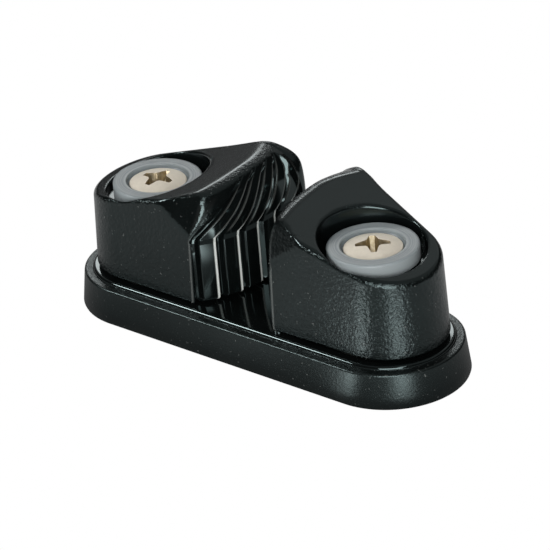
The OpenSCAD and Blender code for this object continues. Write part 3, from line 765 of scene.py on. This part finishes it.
def moulded_black(name, colours, finish_of, grain_mm, depth_mm, rough, gloss):
    """Black moulded plastic, from satin to mirror-smooth by its polish, leathery where it is grained, and
    pale where its skin carries painted highlights.
    """
    material, tree = new_material(name)
    place = add_node(tree, "TexCoord")
    polish, grained = finish_of(tree, place)
    at = {"Vector": (place, "Object")}
    grain = add_node(tree, "TexNoise", {}, {"Scale": per_mm(grain_mm), "Detail": 3.0, "Roughness": 0.6}, at)
    cloud = add_node(tree, "TexNoise", {}, {"Scale": per_mm(CLOUD_MM), "Detail": 2.0}, at)
    tint = add_node(tree, "ValToRGB", links={"Fac": (cloud, "Fac")}, stops=two_tone(*colours))
    # pale painted highlights along the teeth's edges, of which the base has none, and pale specks on the
    # grain
    highlight_layer = add_node(tree, "Attribute", {"attribute_name": "painted_highlight"})
    speck = add_node(tree, "TexNoise", {}, {"Scale": per_mm(SPECK_MM), "Detail": 1.0}, at)
    pale = add_node(tree, "MapRange", values={"From Min": 0.7, "From Max": 0.8, "To Max": 0.13},
                    links={"Value": (speck, "Fac")})
    pale = add_node(tree, "Math", {"operation": "MULTIPLY"}, links={0: (pale, "Result"), 1: grained})
    highlight_and_speck = add_node(tree, "Math", {"operation": "MAXIMUM"}, links={0: (highlight_layer, "Fac"), 1: (pale, "Value")})
    # sockets 6 and 7 of a mix are its two colours, and output 2 is the mixed one
    highlight_and_speck_colour = add_node(tree, "Mix", {"data_type": "RGBA"}, {7: linear("#c2c6c2")},
                      {0: (highlight_and_speck, "Value"), 6: (tint, "Color")})
    dull = add_node(tree, "MapRange", values={"To Min": rough, "To Max": gloss}, links={"Value": polish})
    bump = add_node(tree, "Bump", values={"Distance": depth_mm * MM},
                    links={"Height": (grain, "Fac"), "Strength": grained})
    surface = {"Base Color": (highlight_and_speck_colour, 2), "Roughness": (dull, "Result"), "Normal": (bump, "Normal")}
    shader = add_node(tree, "BsdfPrincipled", {}, {"IOR": 1.5, "Specular Tint": linear("#e4ffff")}, surface)
    add_node(tree, "OutputMaterial", links={"Surface": (shader, "BSDF")})
    return material


def cam_finish(tree, _place):
    """Polish and grain of the cams, as their skins carry them."""
    return [(add_node(tree, "Attribute", {"attribute_name": layer}), "Fac") for layer in ("polish", "grain")]


def base_finish(tree, place):
    """Polish and grain of the base: a polished deck above a grained side and rim."""
    split = add_node(tree, "SeparateXYZ", links={"Vector": (place, "Object")})
    low, high = ((RIM_Z + rise) * MM for rise in DECK_POLISH)
    height = {"Value": (split, "Z")}
    return [(add_node(tree, "MapRange", {}, {"From Min": start, "From Max": end}, height), "Result")
            for start, end in ((low, high), (high, low))]


def acetal_grey():
    """Acetal, with rings about the bush's axis."""
    material, tree = new_material("acetal_moulded_grey")
    place = add_node(tree, "TexCoord")
    flat = add_node(tree, "VectorMath", {"operation": "MULTIPLY"}, {1: (1, 1, 0)}, {0: (place, "Object")})
    radius = add_node(tree, "VectorMath", {"operation": "LENGTH"}, links={0: (flat, "Vector")})
    ring = add_node(tree, "TexNoise", {"noise_dimensions": "1D"}, {"Scale": per_mm(RING_MM), "Detail": 2.0},
                    {"W": (radius, "Value")})
    tint = add_node(tree, "ValToRGB", links={"Fac": (ring, "Fac")}, stops=two_tone("#757d80", "#949b9c"))
    bump = add_node(tree, "Bump", values={"Distance": RING_DEPTH_MM * MM, "Strength": 0.8},
                    links={"Height": (ring, "Fac")})
    shader = add_node(tree, "BsdfPrincipled", values={"IOR": 1.48, "Roughness": 0.4},
                      links={"Base Color": (tint, "Color"), "Normal": (bump, "Normal")})
    add_node(tree, "OutputMaterial", links={"Surface": (shader, "BSDF")})
    return material


def stainless(name, dark, light, grain_mm, rough):
    """Stainless steel: warm grey metal with a fine uneven sheen."""
    material, tree = new_material(name)
    place = add_node(tree, "TexCoord")
    grain = add_node(tree, "TexNoise", values={"Scale": per_mm(grain_mm), "Detail": 4.0},
                     links={"Vector": (place, "Object")})
    uneven = (grain, "Fac")
    tint = add_node(tree, "ValToRGB", links={"Fac": uneven}, stops=two_tone(dark, light))
    spread = {"To Min": rough * (1 - SHEEN_SPREAD), "To Max": rough * (1 + SHEEN_SPREAD)}
    sheen = add_node(tree, "MapRange", values=spread, links={"Value": uneven})
    bump = add_node(tree, "Bump", values={"Distance": STEEL_DEPTH_MM * MM, "Strength": 0.08},
                    links={"Height": uneven})
    surface = {"Base Color": (tint, "Color"), "Roughness": (sheen, "Result"), "Normal": (bump, "Normal")}
    shader = add_node(tree, "BsdfPrincipled", {}, {"Metallic": 1.0}, surface)
    add_node(tree, "OutputMaterial", links={"Surface": (shader, "BSDF")})
    return material


def put(piece, material, body, node):
    """Gives a piece its material, the body it moves with and the solid it stands for."""
    if piece.data.materials:
        piece.data.materials[0] = material
    else:
        piece.data.materials.append(material)
    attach(piece, body)
    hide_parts(node)


# Nylon moulded in a tool with spark-grained walls and a polished jaw: leathery black walls with soft streaks
# of light, a wet-looking jaw and pale painted highlights along the teeth's edges. The real grain is finer
# and is drawn half a millimetre wide, to show
cam_black = moulded_black("nylon_moulded_grained_black", ("#060808", "#0a0d0d"), cam_finish,
                          grain_mm=0.5, depth_mm=0.14, rough=0.17, gloss=0.1)
# The same nylon from a smoother tool with a polished deck: a matt side wall and rim, and a deck that mirrors
# the cams. Its grain, too, is drawn coarser than it is, to show
base_black = moulded_black("nylon_moulded_black", ("#060808", "#0a0c0c"), base_finish,
                           grain_mm=0.35, depth_mm=0.04, rough=0.28, gloss=0.08)
# Acetal, moulded and then faced in a lathe: a soft blue-grey with faint rings and no hard shine
bush_grey = acetal_grey()
# Stainless steel passivated in acid: an even, pale and warm grey that doesn't glint
screw_steel = stainless("stainless_passivated", "#efe8da", "#f6f0e4", grain_mm=0.5, rough=0.75)
# Stainless steel of the cross recess, painted darker and browner than the head as painted shade in the
# recess
shaded_recess_steel = stainless("stainless_recess_painted_shade", "#9a8c70", "#c2b69c", grain_mm=0.4, rough=0.4)
# Stainless strip, rolled and blanked: bright, with a soft sheen
washer_steel = stainless("stainless_strip_blanked", "#d2ccc0", "#e6e1d8", grain_mm=0.6, rough=0.35)
# Stainless wire, drawn: a smooth grey shine
spring_steel = stainless("stainless_wire_drawn", "#a8a49c", "#c2beb6", grain_mm=0.3, rough=0.3)

put(build_base(), base_black, "base", "base")
# each side, and the turn of its screw in degrees
for side, word, screw_turn in ((-1, "left", 2), (1, "right", 131)):
    put(build_cam("toothed_cam_" + word, side), cam_black, "cam_" + word, "cam_" + word)
    put(build_bush("flanged_bush_" + word, side), bush_grey, "base", "bush_" + word)
    put(build_washer("thrust_washer_" + word, side), washer_steel, "base", "washer_" + word)
    put(build_spring("return_spring_" + word, side), spring_steel, "base", "spring_" + word)
    screw = build_screw("cross_screw_" + word, side, math.radians(screw_turn), shaded_recess_steel)
    put(screw, screw_steel, "base", "screw_" + word)

# Camera, from the fitted view of the photograph: turn, height angle, roll, distance, aim point and lens
VIEW_TURN, VIEW_RISE, VIEW_ROLL = (math.radians(d) for d in (41.291, 28.214, -4.826))
VIEW_FAR, VIEW_AIM, VIEW_LENS = 476.13, Vector((1.237, 0, 9.136)), 226.35
level = Vector((math.cos(VIEW_TURN), math.sin(VIEW_TURN), 0))
back = Vector(heading(VIEW_TURN - math.pi / 2, VIEW_RISE))
steep = back.cross(level)
right = level * math.cos(VIEW_ROLL) + steep * math.sin(VIEW_ROLL)
up = steep * math.cos(VIEW_ROLL) - level * math.sin(VIEW_ROLL)
camera_data = bpy.data.cameras.new("camera")
camera_data.lens, camera_data.sensor_width = VIEW_LENS, 36.0
camera_data.clip_start, camera_data.clip_end = 0.01, 20.0
camera = bpy.data.objects.new("camera", camera_data)
bpy.context.scene.collection.objects.link(camera)
facing = Matrix((right, up, back)).transposed().to_4x4()
camera.matrix_world = Matrix.Translation((VIEW_AIM + back * VIEW_FAR) * MM) @ facing
bpy.context.scene.camera = camera

# Paper sweep, plain white to the camera. What the black walls mirror is the paper close by, shaded at the
# base's foot and brighter far away: millimetres from the base's middle line against share of the far glow
STUDIO_WHITE, FAR_GLOW, FAR = 1.0, 0.6, 120.0
SHADE_AT, SHADE = (10, 16, 28, 60, 120), (0.25, 0.4, 0.7, 0.9, 1.0)

# Pools of light on it: two narrow ones that the right cam's end mirrors, and a broad faint one for its front
# wall, each with its place, turn in degrees, half length, half width and glow
POOLS = ((13, -29.5, -112, 20, 5.2, 9.0), (45, -20, -36, 20, 8.0, 8.5), (-4, -26, 0, 18, 13, 0.42))


def paper_sweep():
    """White paper with its shade and its pools of light."""
    paper, tree = new_material("paper_sweep_white")
    place = add_node(tree, "TexCoord")
    split = add_node(tree, "SeparateXYZ", links={"Vector": (place, "Object")})
    spine = add_node(tree, "Clamp", values={"Min": -BASE_RUN * MM, "Max": BASE_RUN * MM},
                     links={"Value": (split, "X")})
    near = add_node(tree, "CombineXYZ", links={"X": (spine, "Result")})
    away = add_node(tree, "VectorMath", {"operation": "DISTANCE"},
                    links={0: (place, "Object"), 1: (near, "Vector")})
    share = add_node(tree, "MapRange", values={"From Max": FAR * MM}, links={"Value": (away, "Value")})
    shades = [(at / FAR, (level, level, level, 1)) for at, level in zip(SHADE_AT, SHADE)]
    shaded = add_node(tree, "ValToRGB", links={"Fac": (share, "Result")}, stops=shades)
    glow = add_node(tree, "Math", {"operation": "MULTIPLY"}, {1: FAR_GLOW}, {0: (shaded, "Color")})
    for x, y, turn, reach, wide, bright in POOLS:
        lie = {"Location": (x * MM, y * MM, 0), "Rotation": (0, 0, math.radians(turn)),
               "Scale": (reach * MM, wide * MM, 1)}
        local = add_node(tree, "Mapping", {"vector_type": "TEXTURE"}, lie, {"Vector": (place, "Object")})
        off = add_node(tree, "VectorMath", {"operation": "LENGTH"}, links={0: (local, "Vector")})
        pool = add_node(tree, "MapRange", {"interpolation_type": "SMOOTHSTEP"},
                        {"To Min": bright, "To Max": 0}, {"Value": (off, "Value")})
        glow = add_node(tree, "Math", {"operation": "ADD"}, links={0: (pool, "Result"), 1: (glow, "Value")})
    mirrored = add_node(tree, "Emission", links={"Strength": (glow, "Value")})
    plain = add_node(tree, "Emission", values={"Strength": STUDIO_WHITE})
    seen = add_node(tree, "LightPath")
    both = add_node(tree, "MixShader", links={
        0: (seen, "Is Camera Ray"), 1: (mirrored, "Emission"), 2: (plain, "Emission")})
    add_node(tree, "OutputMaterial", links={"Surface": (both, "Shader")})
    return paper


# Half the side of the floor, in metres
FLOOR_HALF = 4
floor_corners = [(x * FLOOR_HALF, y * FLOOR_HALF, 0) for x, y in ((-1, -1), (1, -1), (1, 1), (-1, 1))]
floor_mesh = bpy.data.meshes.new("studio_floor")
floor_mesh.from_pydata(floor_corners, [], [(0, 1, 2, 3)])
floor = bpy.data.objects.new("studio_floor", floor_mesh)
bpy.context.scene.collection.objects.link(floor)
floor_mesh.materials.append(paper_sweep())

# Room, white to the camera and dim to what mirrors it
ROOM_GLOW = 0.03
room = bpy.data.worlds.new("studio")
bpy.context.scene.world = room
room.use_nodes = True
room.node_tree.nodes.clear()
room_seen = add_node(room.node_tree, "LightPath")
room_strength = add_node(room.node_tree, "MapRange", values={"To Min": ROOM_GLOW, "To Max": STUDIO_WHITE},
                         links={"Value": (room_seen, "Is Camera Ray")})
room_light = add_node(room.node_tree, "Background", links={"Strength": (room_strength, "Result")})
add_node(room.node_tree, "OutputWorld", links={"Surface": (room_light, "Background")})

# Softboxes that face the cleat: plan and height angle in degrees, distance, width and height (m), watts
CLEAT = Vector((0, 0, 0.012))
SOFTBOXES = (("top_softbox", 60, 75, 0.6, 0.9, 0.9, 0.65),
             ("front_softbox", -52, 18, 0.6, 0.4, 0.3, 3.6),
             ("key_softbox", -30, 46, 0.6, 0.12, 0.12, 0.3),
             ("left_softbox", -140, 40, 0.6, 0.12, 0.12, 1.4),
             ("back_softbox", 131, 34, 0.7, 0.9, 0.5, 0.35),
             ("rim_softbox", 132, 28, 0.72, 0.3, 0.1, 0.45))
for name, turn, rise, far, wide, tall, watts in SOFTBOXES:
    lamp_data = bpy.data.lights.new(name, "AREA")
    lamp_data.shape, lamp_data.size, lamp_data.size_y = "RECTANGLE", wide, tall
    lamp_data.energy = watts
    lamp = bpy.data.objects.new(name, lamp_data)
    lamp.location = Vector(heading(math.radians(turn), math.radians(rise))) * far
    lamp.rotation_euler = (lamp.location - CLEAT).to_track_quat("Z", "Y").to_euler()
    bpy.context.scene.collection.objects.link(lamp)
bpy.context.scene.view_settings.view_transform = "Standard"
